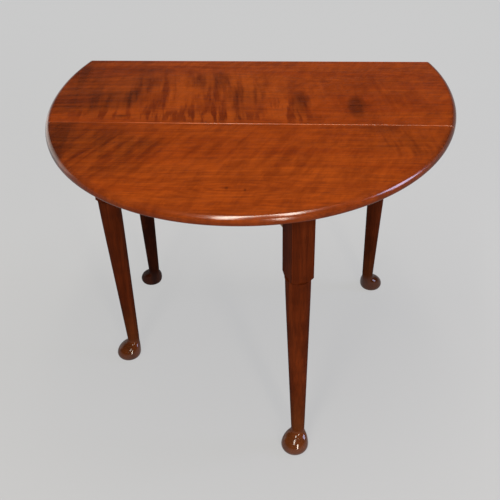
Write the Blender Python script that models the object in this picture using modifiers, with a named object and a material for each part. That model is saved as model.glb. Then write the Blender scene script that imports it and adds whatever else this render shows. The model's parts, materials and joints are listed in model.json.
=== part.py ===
"""Oval mahogany drop-leaf table with swing legs, shown with its front leaf up.

Metres, +Z up, floor at z = 0. The front leaf is raised on its opened swing leg and
the rear leaf hangs. The frame is the same on both long sides, turned half a turn
about its middle: one fixed leg, an inner rail, and a fly rail in two halves that
meet in a wooden knuckle joint, the outer half carrying the swing leg.
"""

import math

import bmesh
import bpy
from mathutils import Matrix, Vector

# Top
HEIGHT = 0.710
TOP_THICKNESS = 0.019
HALF_LENGTH = 0.480          # oval, along X
HALF_WIDTH = 0.606           # oval with both leaves up, along Y
OVAL_POWER = 2.06            # 2 would be a plain ellipse
RIM_RADIUS = 0.0065
RIM_POINTS = 144

# Rule joint between centre board and leaf, round the hinge pin
JOINT_Y = 0.201              # pin from the table's middle
SHOULDER = 0.004             # square step at the top of the joint
RULE_GAP = 0.0005
OVOLO = TOP_THICKNESS - SHOULDER
COVE = OVOLO + RULE_GAP
UNDERSIDE = HEIGHT - TOP_THICKNESS

# Legs
BLOCK = 0.049                # square upper part of a leg
BLOCK_ROUND = BLOCK * 0.74   # turned size that the square is cut from
LEG_X = 0.342
LEG_Y = JOINT_Y - BLOCK / 2 - 0.002
BLOCK_FOOT = 0.510           # height where the square part ends
FLAT_SPREAD = 0.022          # how fast the flats widen and fade out below the block
SHAFT_TOP_RADIUS = 0.0280    # at the block, before the flats cut into it
ANKLE_RADIUS = 0.0167
ANKLE_HEIGHT = 0.052
ANKLE_SHIFT = 0.0155         # the shaft leans inward along the diagonal
PAD_RADIUS = 0.0322
PAD_SHIFT = 0.0020           # the pad stands outward along the diagonal
PAD_HEIGHT = 0.0135          # height of the pad's widest line

# Rails
RAIL_DEPTH = 0.150
INNER_RAIL_THICKNESS = 0.0215
END_RAIL_THICKNESS = 0.020
END_RAIL_INSET = 0.002
END_RAIL_RISE = 0.022
FLY_THICKNESS = 0.026
FLY_DEPTH = 0.115
FLY_TOP = UNDERSIDE - 0.0045

# Swing leg
PIVOT_X = -0.0055
GATE_OPEN = math.radians(66.5)
KNUCKLES = 5
KNUCKLE_BEVEL = math.radians(46)

# Joinery and iron
GAP = 0.0003                 # left between faces that touch
PAST = 0.005                 # how far a cutter runs past the face it cuts
TENON_THICKNESS = 0.009
END_TENON_THICKNESS = 0.008
TENON_LENGTH = 0.027
TENON_SHOULDER = 0.013
PEG_RADIUS = 0.003
PEG_INSET = 0.010            # from a leg's inner face
END_PEG_LENGTH = 0.019
FLY_PEG_LENGTH = 0.044
END_PEG_HEIGHTS = (0.582, 0.645)
FLY_PEG_HEIGHTS = (0.604, 0.654)
PIN_RADIUS = 0.003
PIN_HEAD_RADIUS = 0.005
TAIL_HEIGHTS = [UNDERSIDE - RAIL_DEPTH * share for share in (0.2, 0.5, 0.8)]
TAIL_LENGTH = 0.0135
TAIL_ROOT = 0.008
TAIL_FLARE = 0.003
HINGE_X = (-0.27, 0.0, 0.27)
HINGE_WIDTH = 0.038
HINGE_THICKNESS = 0.002
HINGE_BARREL = 0.003
HINGE_PIN = 0.0014
BOARD_FLAP = 0.030
LEAF_FLAP = 0.042
TOP_BLOCK_X = 0.17
TOP_BLOCK = (0.060, 0.030, 0.030)
CORNER_BLOCK = 0.028
CORNER_BLOCK_LENGTH = 0.120
CORNER_BLOCK_DROP = 0.012    # its top below the underside of the centre board
SCREW_SHANK = 0.0022
SCREW_HEAD = 0.0044
SCREW_TIP = UNDERSIDE + 0.012

# The origin is under the middle of the table as it stands, with one leaf hanging
FRAME_Y = (HALF_WIDTH - JOINT_Y - TOP_THICKNESS) / 2

INNER_FACE = LEG_Y - BLOCK / 2 - 0.001       # outer face of an inner rail
INNER_RAIL_Y = INNER_FACE - INNER_RAIL_THICKNESS / 2
PIVOT_Y = INNER_FACE + FLY_THICKNESS / 2 + 0.0005
END_RAIL_X = LEG_X + BLOCK / 2 - END_RAIL_INSET - END_RAIL_THICKNESS / 2
END_RAIL_FACE = END_RAIL_X - END_RAIL_THICKNESS / 2
ARM = LEG_X - PIVOT_X
LEG_OFF_ARM = LEG_Y - PIVOT_Y

for leftover in list(bpy.data.objects):
    bpy.data.objects.remove(leftover, do_unlink=True)

scene = bpy.context.scene
parts = bpy.data.collections.new("drop_leaf_table")
cutters = bpy.data.collections.new("cutters")
scene.collection.children.link(parts)
scene.collection.children.link(cutters)


# ---------------------------------------------------------------- helpers

def wood_or_iron(name, colour, roughness, metallic=0.0):
    material = bpy.data.materials.new(name)
    material.use_nodes = True
    shader = material.node_tree.nodes["Principled BSDF"]
    shader.inputs["Base Color"].default_value = (*colour, 1.0)
    shader.inputs["Roughness"].default_value = roughness
    shader.inputs["Metallic"].default_value = metallic
    return material


FINISHES = {
    "top_mahogany": ((0.30, 0.060, 0.016), 0.22, 0.0),
    "frame_mahogany": ((0.085, 0.018, 0.008), 0.35, 0.0),
    "oak": ((0.20, 0.11, 0.05), 0.70, 0.0),
    "iron": ((0.05, 0.045, 0.04), 0.55, 0.9),
}


def finish(obj, slot, parent):
    """A piece of the table: its own material, its place under its parent."""
    obj.data.materials.clear()
    obj.data.materials.append(wood_or_iron(obj.name + "_" + slot, *FINISHES[slot]))
    obj.parent = parent
    return obj


def add_mesh(name, mesh, collection=parts):
    obj = bpy.data.objects.new(name, mesh)
    collection.objects.link(obj)
    return obj


def box(name, low, high, collection=parts):
    low, high = Vector(low), Vector(high)
    mesh = bpy.data.meshes.new(name)
    form = bmesh.new()
    bmesh.ops.create_cube(form, size=1.0)
    bmesh.ops.scale(form, vec=high - low, verts=form.verts)
    bmesh.ops.translate(form, vec=(low + high) / 2, verts=form.verts)
    form.to_mesh(mesh)
    form.free()
    return add_mesh(name, mesh, collection)


def rod(name, start, end, radius, sides=16, collection=parts):
    """A cylinder between two points, turned half a facet off the axes."""
    start, end = Vector(start), Vector(end)
    mesh = bpy.data.meshes.new(name)
    form = bmesh.new()
    length = (end - start).length
    bmesh.ops.create_cone(form, cap_ends=True, segments=sides,
                          radius1=radius, radius2=radius, depth=length)
    spin = Matrix.Rotation(math.pi / sides, 4, "Z")
    aim = (end - start).to_track_quat("Z", "Y").to_matrix().to_4x4()
    place = Matrix.Translation((start + end) / 2)
    bmesh.ops.transform(form, matrix=place @ aim @ spin, verts=form.verts)
    form.to_mesh(mesh)
    form.free()
    mesh.shade_smooth()
    mesh.set_sharp_from_angle(angle=math.radians(40))
    return add_mesh(name, mesh, collection)


def turned(name, profile, steps=28, collection=parts):
    """A profile of (radius, height) points from top to bottom, spun about Z."""
    mesh = bpy.data.meshes.new(name)
    form = bmesh.new()
    points = [form.verts.new((radius, 0.0, height)) for radius, height in profile]
    for upper, lower in zip(points, points[1:]):
        form.edges.new((upper, lower))
    form.to_mesh(mesh)
    form.free()
    obj = add_mesh(name, mesh, collection)
    screw = obj.modifiers.new("turn", "SCREW")
    screw.steps = steps
    screw.render_steps = steps
    screw.use_merge_vertices = True
    screw.merge_threshold = 0.00005
    screw.use_smooth_shade = True
    return obj


# An outline drawn in XY and extruded along Z is stood up by one of these
FLAT = Matrix.Identity(4)
OUTLINE_YZ = Matrix(((0, 0, 1, 0), (1, 0, 0, 0), (0, 1, 0, 0), (0, 0, 0, 1)))
OUTLINE_XZ = Matrix(((1, 0, 0, 0), (0, 0, -1, 0), (0, 1, 0, 0), (0, 0, 0, 1)))


def plate(name, outline, thickness, stand=FLAT, collection=parts):
    """A flat outline extruded half its thickness each way, as a mesh."""
    curve = bpy.data.curves.new(name, "CURVE")
    curve.dimensions = "2D"
    curve.fill_mode = "BOTH"
    curve.extrude = thickness / 2
    spline = curve.splines.new("POLY")
    spline.points.add(len(outline) - 1)
    for point, (across, up) in zip(spline.points, outline):
        point.co = (across, up, 0.0, 1.0)
    spline.use_cyclic_u = True
    drawn = bpy.data.objects.new(name + "_outline", curve)
    collection.objects.link(drawn)
    depsgraph = bpy.context.evaluated_depsgraph_get()
    mesh = bpy.data.meshes.new_from_object(drawn.evaluated_get(depsgraph))
    bpy.data.objects.remove(drawn, do_unlink=True)
    form = bmesh.new()
    form.from_mesh(mesh)
    bmesh.ops.remove_doubles(form, verts=form.verts, dist=0.00001)
    bmesh.ops.transform(form, matrix=stand, verts=form.verts)
    bmesh.ops.recalc_face_normals(form, faces=form.faces)
    form.to_mesh(mesh)
    form.free()
    mesh.name = name
    return add_mesh(name, mesh, collection)


def boolean(obj, other, operation):
    other.hide_render = True
    other.display_type = "WIRE"
    change = obj.modifiers.new(operation.lower(), "BOOLEAN")
    change.operation = operation
    change.solver = "EXACT"
    change.object = other


def cut(obj, cutter, parent):
    cutter.parent = parent
    boolean(obj, cutter, "DIFFERENCE")


def join(obj, other, parent):
    other.parent = parent
    boolean(obj, other, "UNION")


def arc(radius, start, end, steps):
    """Points on a circle about the origin, angles in degrees."""
    angles = [start + (end - start) * i / steps for i in range(steps + 1)]
    return [(radius * math.cos(math.radians(a)), radius * math.sin(math.radians(a)))
            for a in angles]


def empty(name, location, parent=None, turn=(0.0, 0.0, 0.0)):
    obj = bpy.data.objects.new(name, None)
    obj.location = location
    obj.rotation_euler = turn
    obj.parent = parent
    scene.collection.objects.link(obj)
    return obj


# ---------------------------------------------------------------- top

def oval_outline():
    points = []
    for i in range(RIM_POINTS):
        angle = 2 * math.pi * (i + 0.5) / RIM_POINTS
        across, along = math.cos(angle), math.sin(angle)
        points.append((
            HALF_LENGTH * math.copysign(abs(across) ** (2 / OVAL_POWER), across),
            HALF_WIDTH * math.copysign(abs(along) ** (2 / OVAL_POWER), along)))
    return points


def oval_slab(name):
    """The whole open top with its rounded rim, about its own middle height."""
    slab = plate(name, oval_outline(), TOP_THICKNESS, collection=cutters)
    rim = slab.modifiers.new("rim", "BEVEL")
    rim.width = RIM_RADIUS
    rim.segments = 3
    rim.limit_method = "ANGLE"
    rim.angle_limit = math.radians(40)
    slab.location.z = HEIGHT - TOP_THICKNESS / 2
    return slab


def centre_section():
    """Section in YZ: square shoulders over a quarter-round on both long edges."""
    right = [(JOINT_Y, TOP_THICKNESS + PAST)]
    right += [(JOINT_Y + y, z) for y, z in arc(OVOLO, 90, 0, 6)]
    right += [(JOINT_Y + OVOLO, -PAST)]
    left = [(-y, z) for y, z in reversed(right)]
    return right + left


def leaf_section():
    """Section in YZ from the hinge pin outward along -Y: shoulder, then cove."""
    over = TOP_THICKNESS + PAST
    lip = math.degrees(math.asin(RULE_GAP / COVE))
    cove = [(-y, z) for y, z in arc(COVE, 90 - lip, 0, 6)]
    outer = -(HALF_WIDTH - JOINT_Y + 0.02)
    return [(-RULE_GAP, over), *cove, (-COVE, -PAST), (outer, -PAST), (outer, over)]


def hinge_recess(obj, parent, x, low_y, high_y):
    """A shallow housing for a hinge flap in the underside, at the pin's height."""
    half = HINGE_WIDTH / 2 + GAP
    recess = box(obj.name + "_recess", (x - half, low_y, -PAST),
                 (x + half, high_y, HINGE_THICKNESS + GAP), cutters)
    cut(obj, recess, parent)


def barrel_recess(obj, parent, x):
    half = HINGE_WIDTH / 2 + 2 * GAP
    groove = rod(obj.name + "_groove", (x - half, 0, 0), (x + half, 0, 0),
                 HINGE_BARREL + GAP, 16, cutters)
    cut(obj, groove, parent)


def make_centre_board(middle, hinge_lines):
    length = 2 * HALF_LENGTH + 0.02
    board = plate("centre_board", centre_section(), length, OUTLINE_YZ)
    board.location.z = UNDERSIDE
    finish(board, "top_mahogany", middle)
    slab = oval_slab("centre_oval")
    slab.parent = middle
    boolean(board, slab, "INTERSECT")
    for line in hinge_lines:
        for x in HINGE_X:
            hinge_recess(board, line, x, -OVOLO - 0.01, BOARD_FLAP + GAP)
            barrel_recess(board, line, x)
        for x in (-TOP_BLOCK_X, TOP_BLOCK_X):
            hole = rod("screw_pilot", (x, block_centre_y(), UNDERSIDE - 0.01),
                       (x, block_centre_y(), SCREW_TIP + GAP), SCREW_SHANK + GAP, 12, cutters)
            cut(board, hole, line.parent)


def make_leaf(side_name, hinge):
    leaf = plate(side_name + "_leaf", leaf_section(), 2 * HALF_LENGTH + 0.02, OUTLINE_YZ)
    finish(leaf, "top_mahogany", hinge)
    slab = oval_slab(side_name + "_oval")
    slab.location = (0.0, JOINT_Y, TOP_THICKNESS / 2)
    slab.parent = hinge
    boolean(leaf, slab, "INTERSECT")
    for x in HINGE_X:
        hinge_recess(leaf, hinge, x, -LEAF_FLAP - GAP, -COVE + 0.004)


def flap(name, x, reach, given_up, parent):
    """One hinge flap, plate and barrel in one section, towards +Y or -Y by reach.

    given_up lists the lengths of barrel cut away for the other flap's knuckles.
    """
    meet = math.degrees(math.asin(HINGE_THICKNESS / HINGE_BARREL))
    barrel = arc(HINGE_BARREL, 0, meet - 360, 14)
    outline = [(abs(reach), 0.0), *barrel, (abs(reach), HINGE_THICKNESS)]
    outline = [(math.copysign(1, reach) * y, z) for y, z in outline]
    leaf = plate(name, outline, HINGE_WIDTH, OUTLINE_YZ)
    leaf.location.x = x
    finish(leaf, "iron", parent)
    clear = HINGE_BARREL + 2 * GAP
    for start, end in given_up:
        cut(leaf, box(name + "_notch", (x + start, -clear, -clear), (x + end, clear, clear),
                      cutters), parent)
    ends = HINGE_WIDTH / 2 + 0.002
    cut(leaf, rod(name + "_bore", (x - ends, 0, 0), (x + ends, 0, 0), HINGE_PIN + GAP, 12,
                  cutters), parent)


def make_hinges(side_name, line, hinge):
    """Iron back-flap hinges: the board flap's two barrels hold the leaf flap's."""
    half = HINGE_WIDTH / 2
    sixth = HINGE_WIDTH / 6
    over = half + 0.002
    for number, x in enumerate(HINGE_X, start=1):
        name = "%s_hinge_%d" % (side_name, number)
        flap(name + "_board_flap", x, BOARD_FLAP, ((-sixth - GAP, sixth + GAP),), line)
        flap(name + "_leaf_flap", x, -LEAF_FLAP, ((-over, -sixth), (sixth, over)), hinge)
        finish(rod(name + "_pin", (x - half, 0, 0), (x + half, 0, 0), HINGE_PIN, 12),
               "iron", line)


# ---------------------------------------------------------------- legs

def leg(name, top, parent, centre, outward):
    """A turned leg on a pad foot. outward is the X side that its pad leans to."""
    diagonal = Vector((outward, -1.0, 0.0)).normalized()
    anchor = Vector((*centre, 0.0))
    slope = (SHAFT_TOP_RADIUS - ANKLE_RADIUS) / (BLOCK_FOOT - ANKLE_HEIGHT)
    step = BLOCK_ROUND - SHAFT_TOP_RADIUS
    root = BLOCK_FOOT + 0.004
    shaft = [(0.0, root)]
    for height in (root, 0.38, 0.22, ANKLE_HEIGHT):
        shaft.append((ANKLE_RADIUS + slope * (height - ANKLE_HEIGHT), height))
    shaft += [(ANKLE_RADIUS * 0.98, 0.036), (ANKLE_RADIUS * 0.80, 0.024), (0.0, 0.022)]
    block = turned(name, [(0.0, top), (BLOCK_ROUND, top), (BLOCK_ROUND, BLOCK_FOOT),
                          (SHAFT_TOP_RADIUS - 0.001, BLOCK_FOOT - step),
                          (0.0, BLOCK_FOOT - step)])
    block.location = anchor
    finish(block, "frame_mahogany", parent)
    lean = turned(name + "_shaft", shaft, collection=cutters)
    angle = math.atan(ANKLE_SHIFT / (BLOCK_FOOT - ANKLE_HEIGHT))
    tilt = Matrix.Rotation(angle, 4, Vector((0, 0, 1)).cross(diagonal))
    pivot = Matrix.Translation(anchor + Vector((0, 0, BLOCK_FOOT)))
    lean.matrix_basis = pivot @ tilt @ Matrix.Translation((0, 0, -BLOCK_FOOT))
    join(block, lean, parent)
    envelope = square_envelope(name + "_square", top)
    envelope.location = anchor
    envelope.parent = parent
    boolean(block, envelope, "INTERSECT")
    pad = turned(name + "_pad", pad_profile(), 32, cutters)
    pad.location = anchor + diagonal * PAD_SHIFT
    join(block, pad, parent)
    return block


def square_envelope(name, top):
    """Square prism of the block, widening below it so that its flats fade out."""
    mesh = bpy.data.meshes.new(name)
    form = bmesh.new()
    bmesh.ops.create_cube(form, size=BLOCK)
    for corner in form.verts:
        corner.co.z = top if corner.co.z > 0 else BLOCK_FOOT
    lower = [face for face in form.faces if face.normal.z < -0.9]
    spread = 1 + FLAT_SPREAD * (BLOCK_FOOT + 0.01) / (BLOCK / 2)
    skirt = bmesh.ops.extrude_face_region(form, geom=lower)
    bmesh.ops.delete(form, geom=lower, context="FACES")
    for item in skirt["geom"]:
        if isinstance(item, bmesh.types.BMVert):
            item.co = (item.co.x * spread, item.co.y * spread, -0.01)
    bmesh.ops.recalc_face_normals(form, faces=form.faces)
    form.to_mesh(mesh)
    form.free()
    return add_mesh(name, mesh, cutters)


def pad_profile():
    """A squashed ball, domed over the top and rounded under to a flat sole."""
    shares = ((0.0, 0.038), (0.45, 0.0372), (0.72, 0.0325), (0.91, 0.0240), (1.0, PAD_HEIGHT),
              (0.975, 0.0080), (0.86, 0.0026), (0.70, 0.0), (0.0, 0.0))
    return [(PAD_RADIUS * share, height) for share, height in shares]


def mortise(target, low, high, parent):
    grow = Vector((GAP, GAP, GAP))
    cut(target, box(target.name + "_mortise", Vector(low) - grow, Vector(high) + grow,
                    cutters), parent)


def peg(name, start, end, holed, parent):
    """A riven oak peg, and its hole through each piece that it pins."""
    finish(rod(name, start, end, PEG_RADIUS, 12), "oak", parent)
    along = (Vector(end) - Vector(start)).normalized()
    for piece in holed:
        hole = rod(name + "_hole", Vector(start) - along * 0.004, Vector(end) + along * GAP,
                   PEG_RADIUS + GAP, 12, cutters)
        cut(piece, hole, parent)


# ---------------------------------------------------------------- rails

def inner_rail(side_name, side):
    """Oak rail inside the fly rail, dovetailed at its free end into the end rail."""
    end = END_RAIL_FACE - GAP
    name = side_name + "_inner_rail"
    rail = box(name, (-end, -INNER_FACE, UNDERSIDE - RAIL_DEPTH),
               (end, -INNER_FACE + INNER_RAIL_THICKNESS, UNDERSIDE - GAP))
    finish(rail, "oak", side)
    for height in TAIL_HEIGHTS:
        tail = dovetail(name + "_tail", end, 1, -INNER_RAIL_Y, height, 0.0)
        join(rail, tail, side)


def dovetail(name, root, direction, centre_y, height, grow):
    """A tail that widens away from its root, or its socket when grown by a gap."""
    start = root - 0.002 * direction
    tip = root + (TAIL_LENGTH + grow) * direction
    outline = [(start, height - TAIL_ROOT - grow), (tip, height - TAIL_ROOT - TAIL_FLARE - grow),
               (tip, height + TAIL_ROOT + TAIL_FLARE + grow), (start, height + TAIL_ROOT + grow)]
    thick = INNER_RAIL_THICKNESS - 0.0004 if grow == 0 else INNER_RAIL_THICKNESS + 0.004
    tail = plate(name, outline, thick, OUTLINE_XZ, cutters)
    tail.location.y = centre_y
    return tail


def end_rail(name, side, leg_piece):
    """Mahogany rail from the fixed leg to the free corner, its lower edge arched."""
    start = -LEG_Y + BLOCK / 2 + GAP
    end = INNER_FACE
    low = UNDERSIDE - RAIL_DEPTH
    middle, reach = (start + end) / 2, (end - start) * 0.36
    arch = [(middle + reach * math.cos(math.pi * i / 10),
             low + END_RAIL_RISE * math.sin(math.pi * i / 10)) for i in range(11)]
    outline = [(start, low), *reversed(arch), (end, low), (end, UNDERSIDE - GAP),
               (start, UNDERSIDE - GAP)]
    rail = plate(name, outline, END_RAIL_THICKNESS, OUTLINE_YZ)
    rail.location.x = -END_RAIL_X
    finish(rail, "frame_mahogany", side)
    half = END_TENON_THICKNESS / 2
    low_corner = (-END_RAIL_X - half, start - TENON_LENGTH, low + TENON_SHOULDER)
    high_corner = (-END_RAIL_X + half, start, UNDERSIDE - TENON_SHOULDER)
    root = (high_corner[0], start + 0.002, high_corner[2])
    join(rail, box(name + "_tenon", low_corner, root, cutters), side)
    mortise(leg_piece, low_corner, (high_corner[0], start + 2 * PAST, high_corner[2]), side)
    for height in TAIL_HEIGHTS:
        socket = dovetail(name + "_socket", -END_RAIL_FACE + 0.001, -1,
                          INNER_RAIL_Y + 0.0018, height, GAP + 0.001)
        cut(rail, socket, side)
    for number, height in enumerate(END_PEG_HEIGHTS, start=1):
        y = -LEG_Y + BLOCK / 2 - PEG_INSET
        outer = -(LEG_X + BLOCK / 2)
        peg("%s_peg_%d" % (name, number), (outer, y, height),
            (outer + END_PEG_LENGTH, y, height), (leg_piece, rail), side)


def knuckled_rail(name, parent, direction, length, own, leg_piece, slot):
    """Half a fly rail: a rounded knuckle end about the pin and a tenon at the leg.

    The pin is the origin, direction is the X side the rail runs to, and own lists
    the knuckle levels that this half keeps.
    """
    half = FLY_THICKNESS / 2
    bevel = half * math.tan(KNUCKLE_BEVEL)
    start = math.degrees(KNUCKLE_BEVEL) - 90
    round_end = arc(half, start, -270, 18)
    outline = [(length, half), (length, -half), (bevel, -half), *round_end]
    outline = [(x * direction, y) for x, y in outline]
    low = FLY_TOP - FLY_DEPTH
    rail = plate(name, outline, FLY_DEPTH)
    rail.location.z = low + FLY_DEPTH / 2
    finish(rail, slot, parent)
    level = FLY_DEPTH / KNUCKLES
    for i in range(KNUCKLES):
        if i in own:
            continue
        bottom = low + i * level - (GAP if i else PAST)
        top = low + (i + 1) * level + (GAP if i < KNUCKLES - 1 else PAST)
        clearance = rod(name + "_clearance", (0, 0, bottom), (0, 0, top),
                        half + 2 * GAP, 32, cutters)
        cut(rail, clearance, parent)
    bore = rod(name + "_bore", (0, 0, low - 2 * PAST), (0, 0, FLY_TOP + 2 * PAST),
               PIN_RADIUS + GAP, 16, cutters)
    cut(rail, bore, parent)
    tenon_half = TENON_THICKNESS / 2
    near, far = sorted((length * direction, (length + TENON_LENGTH) * direction))
    heights = (low + TENON_SHOULDER, FLY_TOP - TENON_SHOULDER)
    root = 0.002 * direction
    tenon = box(name + "_tenon", (near - max(root, 0), -tenon_half, heights[0]),
                (far - min(root, 0), tenon_half, heights[1]), cutters)
    join(rail, tenon, parent)
    mouth = 2 * PAST * direction
    mortise(leg_piece, (near - max(mouth, 0), -tenon_half, heights[0]),
            (far - min(mouth, 0), tenon_half, heights[1]), parent)
    for number, height in enumerate(FLY_PEG_HEIGHTS, start=1):
        x = (length + PEG_INSET) * direction
        outer = PIVOT_Y - LEG_Y - BLOCK / 2
        peg("%s_peg_%d" % (name, number), (x, outer, height),
            (x, outer + FLY_PEG_LENGTH, height), (leg_piece, rail), parent)


def knuckle_pin(name, pivot):
    low = FLY_TOP - FLY_DEPTH
    head = FLY_TOP + 0.0020
    profile = [(0.0, head), (PIN_HEAD_RADIUS * 0.84, head - 0.0004),
               (PIN_HEAD_RADIUS, FLY_TOP + GAP),
               (PIN_RADIUS, FLY_TOP + GAP), (PIN_RADIUS, low - 0.002),
               (PIN_RADIUS - 0.0008, low - 0.003), (0.0, low - 0.003)]
    finish(turned(name, profile, 16), "iron", pivot)


# ---------------------------------------------------------------- blocks and screws

def block_centre_y():
    return -INNER_FACE + INNER_RAIL_THICKNESS + GAP + TOP_BLOCK[1] / 2


def top_block(name, side, x):
    """Oak block glued in the angle under the top, with a screw up through it."""
    length, width, height = TOP_BLOCK
    low_y = block_centre_y() - width / 2
    top = UNDERSIDE - GAP
    block = box(name, (x - length / 2, low_y, top - height),
                (x + length / 2, low_y + width, top))
    finish(block, "oak", side)
    foot = top - height
    over, under = top + 2 * PAST, foot - 2 * PAST
    hole = turned(name + "_hole", [(0.0, over), (SCREW_SHANK + GAP, over),
                                   (SCREW_SHANK + GAP, foot + 0.0045),
                                   (SCREW_HEAD + GAP, foot + 0.0015),
                                   (SCREW_HEAD + GAP, under), (0.0, under)],
                  12, cutters)
    hole.location = (x, block_centre_y(), 0.0)
    cut(block, hole, side)
    screw = turned(name + "_screw", [(0.0, SCREW_TIP), (SCREW_SHANK * 0.6, SCREW_TIP),
                                     (SCREW_SHANK, SCREW_TIP - 0.004),
                                     (SCREW_SHANK, foot + 0.0040),
                                     (SCREW_HEAD, foot + 0.0013), (SCREW_HEAD, foot + 0.0006),
                                     (0.0, foot + 0.0006)], 12)
    screw.location = (x, block_centre_y(), 0.0)
    finish(screw, "iron", side)


def corner_block(name, side, direction):
    """Upright glue block in the corner between an inner rail and an end rail."""
    corner_x = END_RAIL_FACE - 2 * GAP
    corner_y = -INNER_FACE + INNER_RAIL_THICKNESS + GAP
    size = CORNER_BLOCK
    outline = [(0.0, 0.0), (-size, 0.0), (-size, size * 0.45), (-size * 0.45, size), (0.0, size)]
    outline = [((x + corner_x) * direction, y + corner_y) for x, y in outline]
    block = plate(name, outline, CORNER_BLOCK_LENGTH)
    block.location.z = UNDERSIDE - CORNER_BLOCK_DROP - CORNER_BLOCK_LENGTH / 2
    finish(block, "oak", side)


# ---------------------------------------------------------------- assembly

def make_side(side_name, end_name, turn, gate_turn, leaf_turn):
    """Everything on one long side, drawn as the front and turned into place."""
    side = empty(side_name + "_side", (0.0, FRAME_Y, 0.0), turn=(0.0, 0.0, turn))
    line = empty(side_name + "_hinge_line", (0.0, -JOINT_Y, UNDERSIDE), side)
    hinge = empty(side_name + "_leaf_hinge", (0.0, -JOINT_Y, UNDERSIDE), side,
                  (leaf_turn, 0.0, 0.0))
    pivot = empty(side_name + "_pivot", (PIVOT_X, -PIVOT_Y, 0.0), side)
    gate = empty(side_name + "_gate_pivot", (PIVOT_X, -PIVOT_Y, 0.0), side,
                 (0.0, 0.0, -gate_turn))
    fixed = leg(side_name + "_fixed_leg", UNDERSIDE - GAP, side, (-LEG_X, -LEG_Y), -1)
    swing = leg(side_name + "_gate_leg", UNDERSIDE - 0.0005, gate, (ARM, -LEG_OFF_ARM), 1)
    inner_rail(side_name, side)
    end_rail(end_name + "_end_rail", side, fixed)
    knuckled_rail(side_name + "_fixed_rail", pivot, -1, LEG_X + PIVOT_X - BLOCK / 2 - GAP,
                  (0, 2, 4), fixed, "oak")
    knuckled_rail(side_name + "_gate_rail", gate, 1, ARM - BLOCK / 2 - GAP,
                  (1, 3), swing, "oak")
    knuckle_pin(side_name + "_knuckle_pin", pivot)
    make_leaf(side_name, hinge)
    make_hinges(side_name, line, hinge)
    for number, direction in enumerate((-1, 1), start=1):
        corner_block("%s_corner_block_%d" % (side_name, number), side, direction)
        top_block("%s_top_block_%d" % (side_name, number), side, direction * TOP_BLOCK_X)
    return line


frame_middle = empty("frame_middle", (0.0, FRAME_Y, 0.0))
front_line = make_side("front", "left", 0.0, GATE_OPEN, 0.0)
rear_line = make_side("rear", "right", math.pi, 0.0, math.pi / 2)
make_centre_board(frame_middle, (front_line, rear_line))
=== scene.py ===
import json
import math

import bmesh
import bpy
from mathutils import Matrix, Vector

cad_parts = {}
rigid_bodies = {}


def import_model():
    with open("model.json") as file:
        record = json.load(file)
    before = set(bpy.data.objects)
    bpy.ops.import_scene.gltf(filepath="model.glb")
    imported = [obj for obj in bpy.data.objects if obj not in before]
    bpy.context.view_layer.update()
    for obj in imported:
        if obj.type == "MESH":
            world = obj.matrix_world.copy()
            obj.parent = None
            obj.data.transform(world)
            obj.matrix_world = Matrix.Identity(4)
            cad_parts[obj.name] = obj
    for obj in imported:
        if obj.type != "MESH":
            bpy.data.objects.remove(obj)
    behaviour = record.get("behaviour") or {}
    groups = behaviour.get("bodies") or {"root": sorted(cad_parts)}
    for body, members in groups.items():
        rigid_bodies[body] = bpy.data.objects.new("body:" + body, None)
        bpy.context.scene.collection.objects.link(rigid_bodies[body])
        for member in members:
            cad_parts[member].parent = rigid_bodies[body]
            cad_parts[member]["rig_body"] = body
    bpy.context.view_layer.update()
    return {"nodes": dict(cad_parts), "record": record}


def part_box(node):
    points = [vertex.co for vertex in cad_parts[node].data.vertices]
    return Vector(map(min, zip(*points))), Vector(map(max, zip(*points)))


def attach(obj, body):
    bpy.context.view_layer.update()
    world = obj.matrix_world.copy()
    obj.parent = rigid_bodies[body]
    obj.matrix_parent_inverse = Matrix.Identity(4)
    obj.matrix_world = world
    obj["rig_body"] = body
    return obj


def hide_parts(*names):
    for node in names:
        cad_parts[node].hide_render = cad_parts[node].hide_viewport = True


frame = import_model()


# ------------------------------------------------------------------ centre board
# The fixed board of the top: one wide mahogany plank, french polished. Its two ends
# follow the oval and are rounded over; its long edges carry the quarter-round half of
# the rule joints, and its underside is let in for the hinges.

board_low, board_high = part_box("centre_board")
leaf_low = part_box("front_leaf")[0]
pin_low, pin_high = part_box("front_hinge_2_pin")

MIDDLE_Y = (board_low.y + board_high.y) / 2
UNDERSIDE = board_low.z
THICK = board_high.z - board_low.z
JOINT = MIDDLE_Y - (pin_low.y + pin_high.y) / 2
HALF_LENGTH = board_high.x
HALF_WIDTH = MIDDLE_Y - leaf_low.y
OVAL_POWER = 2.06
OVAL_POINTS = 320
RIM_OVER = 0.0115            # the rim's rounding over the top
RIM_UNDER = 0.0065           # and under it
SHOULDER = 0.004             # square step above the quarter-round
RULE_GAP = 0.0005
EASE = 0.0011                # the arrises of the joint are eased by hand
OVOLO = THICK - SHOULDER
COVE = OVOLO + RULE_GAP
PAST = 0.006                 # how far a cutting tool runs past the wood
HINGE_X = [(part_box("front_hinge_%d_pin" % n)[0].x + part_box("front_hinge_%d_pin" % n)[1].x) / 2
           for n in (1, 2, 3)]
HINGE_WIDE = pin_high.x - pin_low.x
LEAF_FLAP = 0.042
BOARD_FLAP = 0.030
FLAP_THICK = 0.002
BARREL = 0.003
FIT = 0.0003                 # room left round each let-in flap
RECESS_REACH = 0.010         # the board's recess runs on this far beyond the hollow
FLAP_TUCK = 0.004            # and a leaf's recess this far inside it


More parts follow.
